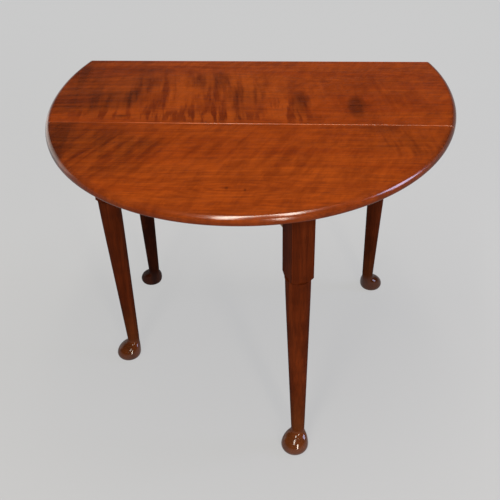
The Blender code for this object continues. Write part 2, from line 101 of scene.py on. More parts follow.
def loft(name, rings):
    """Joins rings of points, equal in number, into one closed mesh with flat ends."""
    form = bmesh.new()
    rows = [[form.verts.new(point) for point in ring] for ring in rings]
    count = len(rows[0])
    for upper, lower in zip(rows, rows[1:]):
        for i in range(count):
            j = (i + 1) % count
            form.faces.new((upper[i], upper[j], lower[j], lower[i]))
    form.faces.new(rows[0])
    form.faces.new(rows[-1])
    bmesh.ops.recalc_face_normals(form, faces=form.faces)
    mesh = bpy.data.meshes.new(name)
    form.to_mesh(mesh)
    form.free()
    obj = bpy.data.objects.new(name, mesh)
    bpy.context.scene.collection.objects.link(obj)
    return obj


def arc(radius, start, end, steps):
    """Points on a circle about the origin, angles in degrees."""
    turns = [math.radians(start + (end - start) * i / steps) for i in range(steps + 1)]
    return [(radius * math.cos(turn), radius * math.sin(turn)) for turn in turns]


def carve(obj, tool, operation):
    """Cuts a piece with a tool, or keeps what both fill, and throws the tool away."""
    change = obj.modifiers.new("carve", "BOOLEAN")
    change.operation = operation
    change.solver = "EXACT"
    change.object = tool
    depsgraph = bpy.context.evaluated_depsgraph_get()
    mesh = bpy.data.meshes.new_from_object(obj.evaluated_get(depsgraph))
    obj.modifiers.clear()
    obj.data = mesh
    bpy.data.objects.remove(tool, do_unlink=True)


def smooth(obj, sharp=35):
    """Smooth over the curves, crisp at the arrises, and flat over the flats."""
    obj.data.shade_smooth()
    obj.data.set_sharp_from_angle(angle=math.radians(sharp))
    weigh = obj.modifiers.new("weigh", "WEIGHTED_NORMAL")
    weigh.keep_sharp = True


def bar(name, section, low_x, high_x):
    """A section in YZ run from one X to another."""
    return loft(name, [[(x, y, z) for y, z in section] for x in (low_x, high_x)])


def block(name, low, high):
    """A plain square-edged bar between two corners."""
    low, high = Vector(low), Vector(high)
    section = ((low.y, low.z), (high.y, low.z), (high.y, high.z), (low.y, high.z))
    return bar(name, section, low.x, high.x)


def rim_ring(inset, height):
    """The oval at one height, set in by the rim's rounding."""
    ring = []
    for i in range(OVAL_POINTS):
        turn = 2 * math.pi * (i + 0.5) / OVAL_POINTS
        across, along = math.cos(turn), math.sin(turn)
        x = HALF_LENGTH * math.copysign(abs(across) ** (2 / OVAL_POWER), across)
        y = HALF_WIDTH * math.copysign(abs(along) ** (2 / OVAL_POWER), along)
        normal = Vector((
            math.copysign(abs(x / HALF_LENGTH) ** (OVAL_POWER - 1), x) / HALF_LENGTH,
            math.copysign(abs(y / HALF_WIDTH) ** (OVAL_POWER - 1), y) / HALF_WIDTH)).normalized()
        ring.append((x - normal.x * inset, y - normal.y * inset, height))
    return ring


def oval_slab(offset_y):
    """The whole open top with its rim, from its underside, middle at offset_y."""
    profile = [(RIM_UNDER - y, RIM_UNDER - z) for y, z in arc(RIM_UNDER, 90, 0, 8)]
    profile += [(RIM_OVER - y, THICK - RIM_OVER + z) for y, z in arc(RIM_OVER, 0, 90, 12)]
    slab = loft("slab", [rim_ring(inset, height) for inset, height in profile])
    slab.location.y = offset_y
    return slab


def eased(edge_y, inward):
    """The eased top arris of a joint's edge, from the face over to the edge."""
    return [(edge_y + inward * (EASE - y), THICK - EASE + z) for y, z in arc(EASE, 90, 0, 5)]


def barrel_tool(x):
    """Cuts the groove that a hinge's barrel turns in."""
    half = HINGE_WIDE / 2 + 2 * FIT
    return bar("groove", arc(BARREL + FIT, 0, 345, 23), x - half, x + half)


class Wire:
    """A socket in a material. Sums on it, such as 1 - grain * 0.3, add Math nodes."""

    def __init__(self, tree, socket=None):
        self.tree = tree
        self.socket = socket

    def node(self, kind, settings, inputs, output=0):
        """Any other node: its settings first, then its inputs' values or links."""
        made = self.tree.nodes.new("ShaderNode" + kind)
        for name, value in settings.items():
            setattr(made, name, value)
        for name, value in inputs.items():
            if isinstance(value, Wire):
                self.tree.links.new(value.socket, made.inputs[name])
            else:
                made.inputs[name].default_value = value
        return Wire(self.tree, made.outputs[output])

    def math(self, operation, first, second=0.0):
        return self.node("Math", {"operation": operation}, {0: first, 1: second})

    def __add__(self, other):
        return self.math("ADD", self, other)

    def __sub__(self, other):
        return self.math("SUBTRACT", self, other)

    def __rsub__(self, other):
        return self.math("SUBTRACT", other, self)

    def __mul__(self, other):
        return self.math("MULTIPLY", self, other)

    def __truediv__(self, other):
        return self.math("DIVIDE", self, other)

    def __pow__(self, other):
        return self.math("POWER", self, other)

    __radd__ = __add__
    __rmul__ = __mul__

    def size(self):
        """Its distance from nought."""
        return self.math("ABSOLUTE", self)

    def between(self, low, high, start=0.0, end=1.0):
        """Rises softly from start to end as this goes from low to high."""
        return self.node("MapRange", {"interpolation_type": "SMOOTHSTEP"},
                         {"Value": self, 1: low, 2: high, 3: start, 4: end})

    def stretched(self, scale, shift=(0.0, 0.0, 0.0)):
        """A place scaled along its axes and shifted, as a vector."""
        return self.node("Mapping", {}, {"Vector": self, "Scale": scale, "Location": shift})

    def noise(self, detail=2.0, rough=0.5, bend=0.0):
        """Noise at this place, one lump to each unit of length."""
        return self.node("TexNoise", {}, {"Vector": self, "Scale": 1.0, "Detail": detail,
                                          "Roughness": rough, "Distortion": bend})

    def split(self):
        made = self.tree.nodes.new("ShaderNodeSeparateXYZ")
        self.tree.links.new(self.socket, made.inputs[0])
        return [Wire(self.tree, output) for output in made.outputs]

    def join(self, x, y, z):
        return self.node("CombineXYZ", {}, {0: x, 1: y, 2: z})

    def toward(self, colour, share, blend="MIX"):
        """This colour, mixed with another by share."""
        other = colour if isinstance(colour, Wire) else (*colour, 1.0)
        return self.node("Mix", {"data_type": "RGBA", "blend_type": blend},
                         {0: share, 6: self, 7: other}, output=2)


def new_finish(name):
    """A material with a bare Principled shader, and the place on the piece."""
    material = bpy.data.materials.new(name)
    material.use_nodes = True
    tree = material.node_tree
    shader = tree.nodes["Principled BSDF"]
    place = Wire(tree).node("TexCoord", {}, {}, output="Object")
    return material, shader, place


def dress(shader, place, colour, rough, height, depth, coat=0.0, coat_rough=0.1, level=0.5):
    """Joins a finish's colour, roughness and relief to its shader."""
    tree = place.tree
    tree.links.new(colour.socket, shader.inputs["Base Color"])
    tree.links.new(rough.socket, shader.inputs["Roughness"])
    relief = place.node("Bump", {}, {"Strength": 0.6, "Distance": depth, "Height": height})
    tree.links.new(relief.socket, shader.inputs["Normal"])
    if isinstance(coat, Wire):
        tree.links.new(coat.socket, shader.inputs["Coat Weight"])
    else:
        shader.inputs["Coat Weight"].default_value = coat
    shader.inputs["Coat Roughness"].default_value = coat_rough
    shader.inputs["Specular IOR Level"].default_value = level


def patch(along, across, middle, reach, waver):
    """One at the middle of a soft patch with a ragged edge, none outside it."""
    far = ((along - middle[0]) / reach[0]) ** 2.0 + ((across - middle[1]) / reach[1]) ** 2.0
    return 1.0 - (far + (waver - 0.5) * 2.0).between(-0.2, 1.5)


AMBER = (0.184, 0.0350, 0.0038)
ORANGE = (0.130, 0.0196, 0.0022)
RED_BROWN = (0.054, 0.0075, 0.0014)
PLUM = (0.017, 0.0036, 0.0014)
# pale colour painted along the joint's arris as a highlight
JOINT_PAINTED_HIGHLIGHT = (0.420, 0.130, 0.050)
FEATHER_LEAN = math.radians(22)
BAR_LEAN = 0.13              # how far the figure's bars slant for each metre across
EYE_LENGTH = 3.6             # oval grain is this many times as long as it is wide


def board_finish(name, shift, smoke, ripple, eyes, rim_middle_y, joint_y):
    """French-polished mahogany with its grain along X.

    smoke lists dark clouds, at the left end partly painted shade, ripple the zones where the
    figure shows, how strongly and which figure, and eyes the oval grain: its middle, reach and pitch.
    """
    material, shader, place = new_finish(name)
    x, y, z = place.split()
    waver = place.stretched((5.0, 9.0, 9.0), shift).noise(3.0)
    sway = place.stretched((1.3, 3.0, 3.0), shift).noise(1.0)
    lines = y + (sway - 0.5) * 0.07 + (waver - 0.5) * 0.010
    bent = place.join(x, lines, z)
    lean = place.node("Mapping", {}, {"Vector": place, "Rotation": (0.0, 0.0, FEATHER_LEAN)})
    broad = bent.stretched((1.1, 15.0, 15.0), shift).noise(3.0, 0.6).between(0.34, 0.68)
    streak = bent.stretched((4.5, 75.0, 75.0), shift).noise(3.0, 0.65, 0.4).between(0.36, 0.68)
    mottle = lean.stretched((46.0, 17.0, 17.0), shift).noise(4.0, 0.70, 0.3).between(0.36, 0.66)
    fibre = bent.stretched((13.0, 300.0, 300.0), shift).noise(2.0).between(0.34, 0.68)
    pore = bent.stretched((34.0, 900.0, 900.0), shift).noise(1.0).between(0.60, 0.74)
    feather = lean.stretched((44.0, 6.5, 6.5), shift).noise(3.0, 0.6, 0.3).between(0.34, 0.66)
    wave = place.join(x + y * BAR_LEAN + (waver - 0.5) * 0.010, y, z)
    bars = wave.stretched((27.0, 2.6, 2.6), shift).noise(2.5, 0.62).between(0.40, 0.60)
    fine_bars = wave.stretched((72.0, 10.0, 10.0), shift).noise(2.0, 0.55).between(0.42, 0.60)
    figures = {"bars": bars * 0.7 + fine_bars * 0.3, "fine": fine_bars, "feather": feather}

    colour = place.node("RGB", {}, {})
    colour.socket.default_value = (*ORANGE, 1.0)
    colour = colour.toward(AMBER, (1.0 - broad) * 0.60)
    colour = colour.toward(RED_BROWN, streak * 0.30 + mottle * 0.36)
    for middle, reach, pitch in eyes:
        oval = (((x - middle[0]) / EYE_LENGTH) ** 2.0 + (y - middle[1]) ** 2.0) ** 0.5
        ring = ((oval + (waver - 0.5) * 0.030) * (2 * math.pi / pitch))
        ring = place.math("SINE", ring).between(-0.4, 1.0)
        near = 1.0 - (oval / reach).between(0.2, 1.0)
        colour = colour.toward(RED_BROWN, ring * near * 0.24)
    for middle, reach, strength, kind in ripple:
        zone = patch(x, y, middle, reach, waver) * strength
        colour = colour.toward(RED_BROWN, zone * figures[kind] * 0.80)
        colour = colour.toward(AMBER, zone * (1.0 - figures[kind]) * 0.60)
    veins = bars * 0.40 + streak * 0.25 + 0.40
    # Dark clouds in the wood. On the centre board and front leaf, the broad ones at the left end are
    # partly painted shade, darkening that end.
    for middle, reach, strength in smoke:
        colour = colour.toward(PLUM, patch(x, y, middle, reach, waver) * veins * strength)
    colour = colour.toward(PLUM, fibre * 0.20)
    colour = colour.toward(PLUM, pore * 0.30)
    edge = (x.size() / HALF_LENGTH) ** OVAL_POWER
    edge = edge + ((y - rim_middle_y).size() / HALF_WIDTH) ** OVAL_POWER
    worn = edge.between(0.930, 0.985)
    worn_top = worn * z.between(THICK * 0.55, THICK * 0.92, 0.06, 1.0)
    grime = place.stretched((3.0, 30.0, 30.0), shift).noise(3.0, 0.6).between(0.40, 0.60)
    handled = 1.0 - x.between(-0.46, -0.22)
    # The rim goes towards plum all round as wear. At the right end it goes darker still as painted
    # shade, and its polish is dulled there.
    right_end_dull_and_painted_shade = x.between(0.35, 0.46)
    colour = colour.toward(PLUM, worn * (right_end_dull_and_painted_shade * 0.45 + 0.22))
    # Painted highlight: a pale line of colour along the joint's eased arris, fainter to the left and
    # broken by noise. The polish is raised there too.
    at_joint = 1.0 - (y.size() - joint_y).size().between(0.0010, 0.0030)
    at_joint = at_joint * x.between(-0.32, -0.12, 0.08, 0.45)
    colour = colour.toward(JOINT_PAINTED_HIGHLIGHT, at_joint * (1.0 - grime * 0.7))
    polish = worn_top + (1.0 - worn_top) * worn * handled * 0.80
    polish = polish * (1.0 - right_end_dull_and_painted_shade * 0.80) + at_joint * 0.5
    smear = place.stretched((7.0, 11.0, 7.0), shift).noise(4.0, 0.6)
    rough = 0.15 + smear.between(0.35, 0.7) * 0.07 + fibre * 0.03
    relief = (0.0 - fibre * 0.6 - pore) * (1.0 - worn * 0.8)
    dress(shader, place, colour, rough, relief, 0.00010,
          coat=x.math("MINIMUM", 0.12 + polish * 0.88, 1.0), coat_rough=0.17, level=0.03)
    return material


centre = [(JOINT - EASE, THICK + PAST), *[(y, z) for y, z in eased(JOINT, -1)]]
centre += [(JOINT + y, z) for y, z in arc(OVOLO, 90, 0, 24)]
centre += [(JOINT + OVOLO, -PAST)]
centre += [(-y, z) for y, z in reversed(centre)]
board = bar("board", centre, -HALF_LENGTH - PAST, HALF_LENGTH + PAST)
carve(board, oval_slab(0.0), "INTERSECT")
for facing in (1, -1):
    for x in HINGE_X:
        recess = block("recess", (x - HINGE_WIDE / 2 - FIT, -COVE - RECESS_REACH, -PAST),
                       (x + HINGE_WIDE / 2 + FIT, BOARD_FLAP + FIT, FLAP_THICK + FIT))
        groove = barrel_tool(x)
        for tool in (recess, groove):
            tool.location.y = -JOINT * facing
            if facing < 0:
                tool.rotation_euler.z = math.pi
            carve(board, tool, "DIFFERENCE")
board.name = "centre_board_polished"
board.location = (0.0, MIDDLE_Y, UNDERSIDE)
smooth(board)
# The broad patches at the left end, x below -0.3, are partly dark figure and partly painted shade.
CENTRE_SMOKE_AND_LEFT_SHADE = (
    ((-0.005, -0.085), (0.050, 0.115), 0.50),
    ((0.117, -0.090), (0.024, 0.080), 0.60),
    ((0.248, -0.105), (0.020, 0.060), 0.70),
    ((-0.390, -0.070), (0.130, 0.080), 0.60),
    ((-0.450, 0.020), (0.060, 0.200), 0.60),
    ((-0.380, 0.060), (0.160, 0.220), 0.40),
    ((-0.287, -0.060), (0.018, 0.060), 0.60),
    ((-0.290, -0.165), (0.020, 0.012), 0.80),
    ((-0.110, 0.060), (0.060, 0.060), 0.40),
    ((-0.300, 0.130), (0.150, 0.025), 0.55),
)
CENTRE_RIPPLE = (
    ((-0.130, -0.060), (0.240, 0.200), 1.0, "bars"),
    ((-0.150, -0.160), (0.280, 0.035), 1.0, "fine"),
    ((0.090, -0.130), (0.060, 0.080), 0.8, "fine"),
    ((0.230, -0.020), (0.200, 0.150), 0.35, "bars"),
)
CENTRE_EYES = (((0.30, 0.09), 0.10, 0.013),)
board.data.materials.clear()
board.data.materials.append(board_finish(
    "polished_mahogany_centre", (3.1, 1.7, 0.4), CENTRE_SMOKE_AND_LEFT_SHADE, CENTRE_RIPPLE,
    CENTRE_EYES, 0.0, JOINT))
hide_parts("centre_board")
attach(board, "frame")


# ------------------------------------------------------------------ the two leaves
# Each leaf is one mahogany plank cut to the oval, its rim rounded like the centre
# board's. Its inner edge is the hollow half of the rule joint, round the hinge pins.

LIP = math.degrees(math.asin(RULE_GAP / COVE))
# The broad patches at the left end, x below -0.3, are partly dark figure and partly painted shade.
FRONT_SMOKE_AND_LEFT_SHADE = (
    ((-0.400, -0.090), (0.080, 0.120), 0.75),
    ((-0.330, -0.120), (0.160, 0.160), 0.50),
    ((0.380, -0.080), (0.120, 0.090), 0.35),
    ((0.275, -0.105), (0.035, 0.055), 0.40),
    ((0.285, -0.022), (0.045, 0.026), 0.40),
    ((-0.016, -0.294), (0.004, 0.007), 0.8),
    ((0.020, -0.301), (0.003, 0.005), 0.7),
)
FRONT_RIPPLE = (
    ((-0.340, -0.140), (0.150, 0.160), 0.90, "feather"),
    ((-0.100, -0.120), (0.260, 0.120), 0.35, "feather"),
    ((0.330, -0.080), (0.090, 0.070), 0.40, "fine"),
    ((0.150, -0.220), (0.200, 0.120), 0.30, "feather"),
)
FRONT_EYES = (((-0.02, -0.292), 0.085, 0.0105),)
REAR_SMOKE = (((0.21, -0.12), (0.09, 0.05), 0.45), ((-0.33, -0.20), (0.05, 0.09), 0.45))
REAR_RIPPLE = (((0.05, -0.10), (0.30, 0.10), 0.50, "bars"),
               ((-0.20, -0.22), (0.15, 0.10), 0.50, "feather"))
REAR_EYES = (((0.10, -0.22), 0.09, 0.012),)

leaves = {
    "front": (Matrix.Translation((0.0, MIDDLE_Y - JOINT, UNDERSIDE)),
              (5.3, 2.9, 1.2), FRONT_SMOKE_AND_LEFT_SHADE, FRONT_RIPPLE, FRONT_EYES),
    "rear": (Matrix.Translation((0.0, MIDDLE_Y + JOINT, UNDERSIDE))
             @ Matrix.Rotation(math.pi, 4, "Z") @ Matrix.Rotation(math.pi / 2, 4, "X"),
             (8.8, 4.6, 2.3), REAR_SMOKE, REAR_RIPPLE, REAR_EYES),
}
for side, (stand, shift, smoke, ripple, eyes) in leaves.items():
    hollow = [(-RULE_GAP - EASE, THICK + PAST)]
    hollow += eased(-RULE_GAP, -1)
    hollow += [(-y, z) for y, z in arc(COVE, 90 - LIP, 0, 24)]
    hollow += [(-COVE, -PAST), (JOINT - HALF_WIDTH - PAST, -PAST),
               (JOINT - HALF_WIDTH - PAST, THICK + PAST)]
    leaf = bar("leaf", hollow, -HALF_LENGTH - PAST, HALF_LENGTH + PAST)
    carve(leaf, oval_slab(JOINT), "INTERSECT")
    for x in HINGE_X:
        carve(leaf, block("recess", (x - HINGE_WIDE / 2 - FIT, -LEAF_FLAP - FIT, -PAST),
                          (x + HINGE_WIDE / 2 + FIT, -COVE + FLAP_TUCK, FLAP_THICK + FIT)),
              "DIFFERENCE")
    leaf.name = side + "_leaf_polished"
    leaf.matrix_world = stand
    smooth(leaf)
    leaf.data.materials.clear()
    leaf.data.materials.append(board_finish("polished_mahogany_%s_leaf" % side, shift, smoke,
                                            ripple, eyes, JOINT, 0.0))
    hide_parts(side + "_leaf")
    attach(leaf, side + "_leaf")


# ------------------------------------------------------------------ legs
# Four solid mahogany legs, each turned below its square block into a tapering shaft
# and a pad foot. The shaft is turned off a second centre, so it leans in to the ankle
# while the pad swells outward along the diagonal.

BLOCK = 0.049
BLOCK_ROUND = BLOCK * 0.74   # turned size that the square is cut from
BLOCK_FOOT = 0.510           # height where the square part ends
FLAT_SPREAD = 0.022          # how fast the flats widen and fade out below the block
SHAFT_TOP = 0.0280           # radius under the shoulder, before the flats cut in
SHOULDER_FALL = BLOCK_ROUND - SHAFT_TOP
SHAFT_START = BLOCK_FOOT - SHOULDER_FALL
SHAFT_RINGS = 26
RING_CROWDING = 1.5          # above one, the rings stand closer near the block
ANKLE_RADIUS = 0.0159
ANKLE_HEIGHT = 0.058
ANKLE_SHIFT = 0.0159
SOFTNESS = 24.0              # how softly the fading flats turn into the round shaft
PAD_SHIFT = 0.0020
RING_POINTS = 96
FOOT_STEPS = 4               # rings between each pair of the foot's heights
DARK_RED = (0.070, 0.0112, 0.0021)
BLACK_RED = (0.012, 0.0025, 0.0010)
WORN_RED = (0.120, 0.0230, 0.0050)
DUST = (0.085, 0.042, 0.022)
OLD_WAX = (0.060, 0.0225, 0.0060)

# Below the ankle: height, then how far the inner and the outer edge stand outward
FOOT = ((0.0580, -0.0318, 0.0000), (0.0500, -0.0316, -0.0002), (0.0450, -0.0315, 0.0016),
        (0.0410, -0.0314, 0.0062), (0.0378, -0.0313, 0.0128), (0.0342, -0.0312, 0.0197),
        (0.0296, -0.0310, 0.0258), (0.0240, -0.0308, 0.0304), (0.0180, -0.0305, 0.0333),
        (0.0130, -0.0301, 0.0342), (0.0080, -0.0290, 0.0333), (0.0032, -0.0265, 0.0306),
        (0.0008, -0.0228, 0.0268), (0.0000, -0.0205, 0.0245))


def curve_through(points, steps):
    """A smooth run through the points, with steps between each pair."""
    run = []
    last = len(points) - 1
    for i in range(last):
        before, start = Vector(points[max(i - 1, 0)]), Vector(points[i])
        end, after = Vector(points[i + 1]), Vector(points[min(i + 2, last)])
        for step in range(steps):
            t = step / steps
            run.append(start + (end - before) * (t / 2)
                       + (before * 2 - start * 5 + end * 4 - after) * (t * t / 2)
                       + (start * 3 - before - end * 3 + after) * (t ** 3 / 2))
    return run + [Vector(points[-1])]


def clipped(radius, height, facing):
    """A shaft's radius where the block's flats, fading out below it, still cut in."""
    flat = (BLOCK / 2 + FLAT_SPREAD * (BLOCK_FOOT - height)) / facing
    return (radius ** -SOFTNESS + flat ** -SOFTNESS) ** (-1 / SOFTNESS)


def leg_rings(outward, top):
    """Rings down a leg, from its block's top to its sole, each about its own centre.

    The ring at the shoulder's foot keeps its full radius, so a lip stands out there,
    past the block's faces, and on the rear legs it reaches into the hanging leaf.
    """
    rows = [(top, 0.0, BLOCK_ROUND), (BLOCK_FOOT, 0.0, BLOCK_ROUND)]
    rows += [(BLOCK_FOOT - SHOULDER_FALL * share, 0.0, BLOCK_ROUND - SHOULDER_FALL * share)
             for share in (0.25, 0.5, 0.75, 1.0)]
    for i in range(1, SHAFT_RINGS):
        share = (i / SHAFT_RINGS) ** RING_CROWDING
        height = SHAFT_START * (1 - share) + ANKLE_HEIGHT * share
        fall = (BLOCK_FOOT - height) / (BLOCK_FOOT - ANKLE_HEIGHT)
        rows.append((height, -ANKLE_SHIFT * fall, SHAFT_TOP + (ANKLE_RADIUS - SHAFT_TOP) * fall))
    for height, inner, outer in curve_through(FOOT, FOOT_STEPS):
        rows.append((height, (inner + outer) / 2, (outer - inner) / 2))
    rings = []
    for height, shift, radius in rows:
        ring = []
        for i in range(RING_POINTS):
            turn = 2 * math.pi * i / RING_POINTS
            across, along = math.cos(turn), math.sin(turn)
            reach = radius
            if height < SHAFT_START - 0.0005:
                reach = clipped(radius, height, max(abs(across), abs(along)))
            ring.append((outward.x * shift + reach * across,
                         outward.y * shift + reach * along, height))
        rings.append(ring)
    return rings


def square_tool(top):
    """The four faces of the block and its turned shoulder, open round the shaft below."""
    clear = SHAFT_START - 0.0002
    rings = []
    for height, half in ((top + PAST, BLOCK / 2), (clear, BLOCK / 2),
                         (clear - 0.0008, BLOCK), (-PAST, BLOCK)):
        rings.append([(half * a, half * b, height) for a, b in ((1, 1), (-1, 1), (-1, -1), (1, -1))])
    return loft("square", rings)


def frame_finish(name, axis, shift, low_worn=True, painted_shade=0.0):
    """Waxed dark mahogany, its grain along one of the piece's axes, coloured darker as painted shade
    on legs that stand in shadow.
    """
    material, shader, place = new_finish(name)
    x, y, z = place.split()
    along, across, through = {"x": (x, y, z), "y": (y, x, z), "z": (z, x, y)}[axis]
    grain = place.join(along, across, through)
    sway = grain.stretched((2.0, 14.0, 14.0), shift).noise(2.0)
    bent = place.join(along, across + (sway - 0.5) * 0.022, through + (sway - 0.5) * 0.014)
    broad = bent.stretched((1.8, 48.0, 48.0), shift).noise(3.0, 0.6).between(0.36, 0.64)
    fibre = bent.stretched((14.0, 420.0, 420.0), shift).noise(2.0).between(0.34, 0.70)
    pore = bent.stretched((40.0, 950.0, 950.0), shift).noise(1.0).between(0.60, 0.74)
    figure = grain.stretched((24.0, 9.0, 9.0), shift).noise(2.0, 0.5, 0.3).between(0.42, 0.62)
    colour = place.node("RGB", {}, {})
    colour.socket.default_value = (*DARK_RED, 1.0)
    colour = colour.toward(WORN_RED, (1.0 - broad) * 0.35)
    colour = colour.toward(BLACK_RED, broad * 0.30)
    colour = colour.toward(BLACK_RED, figure * 0.18)
    colour = colour.toward(BLACK_RED, fibre * 0.30)
    colour = colour.toward(BLACK_RED, pore * 0.50)
    grime = grain.stretched((9.0, 22.0, 22.0), shift).noise(4.0, 0.6)
    if low_worn:
        scuffs = grain.stretched((60.0, 90.0, 90.0), shift).noise(3.0, 0.6).between(0.50, 0.66)
        colour = colour.toward(DUST, (1.0 - z.between(0.002, 0.030)) * scuffs * 0.40)
        colour = colour.toward(WORN_RED, (1.0 - z.between(0.02, 0.16)) * (1.0 - grime) * 0.35)
        colour = colour.toward(OLD_WAX, z.between(0.02, 0.22, 0.50, 0.0) * (1.0 - painted_shade))
    # Painted shade: the whole piece is coloured darker by its given share, for the shadow it stands
    # in. The old wax and the feet's polish fade with it.
    colour = colour.toward(BLACK_RED, painted_shade + grime.between(0.50, 0.75) * 0.35)
    rough = 0.19 + grime.between(0.35, 0.70) * 0.12 + fibre * 0.04
    low_polish = 0.85 * (1.0 - painted_shade)
    polish = z.between(0.030, 0.060, 0.05 + low_polish, 0.05) if low_worn else 0.05
    dress(shader, place, colour, rough, 0.0 - fibre * 0.6 - pore, 0.00010,
          coat=polish, coat_rough=0.11, level=0.0)
    return material


soles = {mount["name"]: Vector(mount["pos_m"]) for mount in frame["record"]["mounts"]}
GATE_OPEN = math.radians(66.5)
legs = {
    # The last number on each leg is painted shade: how much darker it is coloured for the shadow it
    # stands in.
    "front_fixed_leg": ("front_fixed_sole", -1, 0.0, "frame", 0.15),
    "rear_fixed_leg": ("rear_fixed_sole", -1, math.pi, "frame", 0.25),
    "front_gate_leg": ("front_gate_sole", 1, -GATE_OPEN, "front_gate", 0.0),
    "rear_gate_leg": ("rear_gate_sole", 1, math.pi, "rear_gate", 0.8),
}
for number, (node, (sole, hand, turn, body, painted_shade)) in enumerate(legs.items()):
    outward = Vector((hand, -1.0, 0.0)).normalized()
    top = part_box(node)[1].z
    leg = loft(node + "_turned", leg_rings(outward, top))
    carve(leg, square_tool(top), "INTERSECT")
    spin = Matrix.Rotation(turn, 4, "Z")
    leg.matrix_world = Matrix.Translation(soles[sole] - spin @ (outward * PAD_SHIFT)) @ spin
    smooth(leg, 28)
    leg.data.materials.clear()
    leg.data.materials.append(frame_finish("waxed_mahogany_" + node, "z",
                                           (1.9 * number, 3.3 * number, 0.7 * number),
                                           painted_shade=painted_shade))
    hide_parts(node)
    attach(leg, body)


# ------------------------------------------------------------------ end rails
# One mahogany rail under each end of the top, tenoned into the fixed leg and joined
# to an inner rail by dovetails at its free corner. Its lower edge is a flat arch.

for number, node in enumerate(("left_end_rail", "right_end_rail")):
    finish = frame_finish("waxed_mahogany_" + node, "y", (2.2 + number, 5.1, 1.4), False)
    for slot in frame["nodes"][node].material_slots:
        slot.material = finish


# ------------------------------------------------------------------ oak inside
# Inner rails, fly rails and glue blocks are oak, left from the plane and never
# polished, so it has gone grey-brown and dusty.

OAK = (0.235, 0.130, 0.062)
OAK_DARK = (0.085, 0.042, 0.020)
OAK_PALE = (0.330, 0.215, 0.120)
SAW_MARKS = 1900.0           # how closely the saw's marks follow each other, in radians a metre


def oak_finish(name, axis, turn, shift):
    """Raw oak: open dark pores in lines, pale flecks across them, and old grime."""
    material, shader, place = new_finish(name)
    facing = place.node("Mapping", {}, {"Vector": place, "Rotation": (0.0, 0.0, -turn)})
    x, y, z = facing.split()
    along, across, through = {"x": (x, y, z), "y": (y, x, z), "z": (z, x, y)}[axis]
    grain = place.join(along, across, through)
    sway = grain.stretched((2.5, 12.0, 12.0), shift).noise(2.0)
    bent = place.join(along, across + (sway - 0.5) * 0.020, through + (sway - 0.5) * 0.020)
    ring = bent.stretched((1.0, 110.0, 110.0), shift).noise(2.0, 0.6).between(0.38, 0.62)
    pore = bent.stretched((45.0, 800.0, 800.0), shift).noise(1.0).between(0.52, 0.66)
    fleck = bent.stretched((60.0, 160.0, 40.0), shift).noise(1.0, 0.5, 0.6).between(0.66, 0.74)
    saw = along.math("SINE", along * SAW_MARKS + sway * 9.0).between(-1.0, 1.0)
    grime = grain.stretched((7.0, 15.0, 15.0), shift).noise(4.0, 0.6)
    colour = place.node("RGB", {}, {})
    colour.socket.default_value = (*OAK, 1.0)
    colour = colour.toward(OAK_DARK, ring * 0.35)
    colour = colour.toward(OAK_PALE, fleck * 0.40)
    colour = colour.toward(OAK_DARK, pore * 0.60)
    colour = colour.toward(OAK_DARK, grime.between(0.45, 0.75) * 0.55)
    rough = 0.62 + grime * 0.22
    dress(shader, place, colour, rough, 0.0 - pore - saw * 0.25, 0.00025, level=0.35)
    return material


oak_runs = {"inner_rail": ("x", 0.0), "fixed_rail": ("x", 0.0), "top_block": ("x", 0.0),
            "corner_block": ("z", 0.0)}
for node, obj in frame["nodes"].items():
    if "peg" in node or "screw" in node:
        continue
    found = [run for run in oak_runs if run in node]
    if not found and "gate_rail" not in node:
        continue
    axis, turn = oak_runs[found[0]] if found else ("x", -GATE_OPEN if "front" in node else 0.0)
    seed = sum(ord(letter) for letter in node) * 0.37
    finish = oak_finish("raw_oak_" + node, axis, turn, (seed % 7.0, seed % 5.0, seed % 3.0))
    for slot in obj.material_slots:
        slot.material = finish


# ------------------------------------------------------------------ pegs
# Riven oak pegs, driven through each tenon from outside and cut off a little proud.
# They are whittled to eight sides, and waxed as dark as the legs round them.

PEG = 0.0034
PEG_PROUD = 0.0004
PEG_SIDES = 8
peg_finish = frame_finish("waxed_oak_pegs", "z", (9.0, 2.0, 4.0), False)
for node in sorted(frame["nodes"]):
    if "peg" not in node:
        continue
    low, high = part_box(node)
    middle = (low + high) / 2
    reach = high - low
    body = frame["nodes"][node]["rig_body"]
    if "end_rail" in node:
        inward = Vector((1.0 if middle.x < 0 else -1.0, 0.0, 0.0))
        length = reach.x
    elif "front_gate" in node:
        inward = Vector((math.sin(GATE_OPEN), math.cos(GATE_OPEN), 0.0))
        shut_low, shut_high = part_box(node.replace("front", "rear"))
        length = shut_high.y - shut_low.y
    else:
        inward = Vector((0.0, 1.0 if middle.y < MIDDLE_Y else -1.0, 0.0))
        length = reach.y
    start = middle - inward * (length / 2 + PEG_PROUD)
    rows = ((0.0, 0.70), (0.0003, 0.93), (0.0008, 1.0), (length - 0.001, 0.94))
    turns = [2 * math.pi * (i + 0.5) / PEG_SIDES for i in range(PEG_SIDES)]
    rings = [[(PEG * size * math.cos(turn), PEG * size * math.sin(turn), depth) for turn in turns]
             for depth, size in rows]
    peg = loft(node + "_whittled", rings)
    peg.matrix_world = Matrix.Translation(start) @ inward.to_track_quat("Z", "Y").to_matrix().to_4x4()
    peg.data.materials.append(peg_finish)
    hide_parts(node)
    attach(peg, body)


# ------------------------------------------------------------------ hinges, pins, screws
# Six wrought back-flap hinges, two knuckle pins and the screws through the top blocks
# are dark iron with a skin of old rust.

IRON = (0.050, 0.044, 0.040)
RUST = (0.120, 0.045, 0.018)


